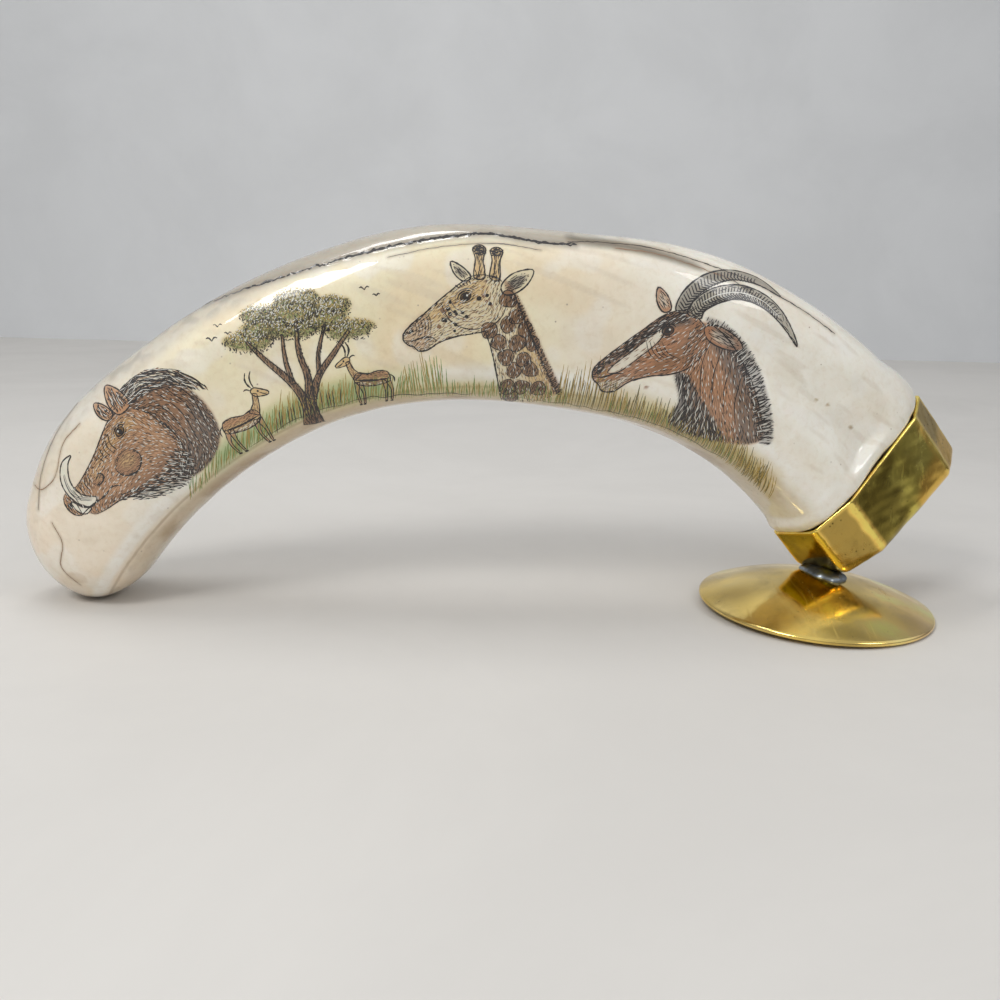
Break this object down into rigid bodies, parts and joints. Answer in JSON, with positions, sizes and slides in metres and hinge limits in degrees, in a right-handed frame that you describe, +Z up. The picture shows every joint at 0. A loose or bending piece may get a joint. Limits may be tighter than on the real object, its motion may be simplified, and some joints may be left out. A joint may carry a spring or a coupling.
{
  "type": "scrimshaw warthog tooth",
  "caption": "Curved, engraved and tinted warthog tooth set in a folded brass cap that is soldered to a domed brass base disc.",
  "frame": {"origin": "middle of the footprint's box, on the surface that the ornament stands on", "axes": "+X from the tooth's tip to its root and the base disc, +Y away from the engraved face, +Z up"},
  "size_m": [0.1922, 0.049, 0.0757],
  "materials": {
    "ivory": "polished cream ivory under clear gloss lacquer, yellower along the middle and whiter near the root, with fine brown age cracks and dark natural bark in one groove",
    "engraving_ink": "dark pigment rubbed into fine engraved lines, under the same clear lacquer",
    "cap_brass": "hand-polished folded sheet brass, olive to golden, with small pits and fine scratches",
    "disc_brass": "polished pressed sheet brass, slightly cloudy, with fine pits and scratches and a bright rim",
    "solder": "dull grey soft solder, lumpy, with bright spots"
  },
  "bodies": {
    "root": {"tusk": "ivory", "brass_cap": "cap_brass", "solder_joint": "solder", "base_disc": "disc_brass"}
  },
  "joints": []
}
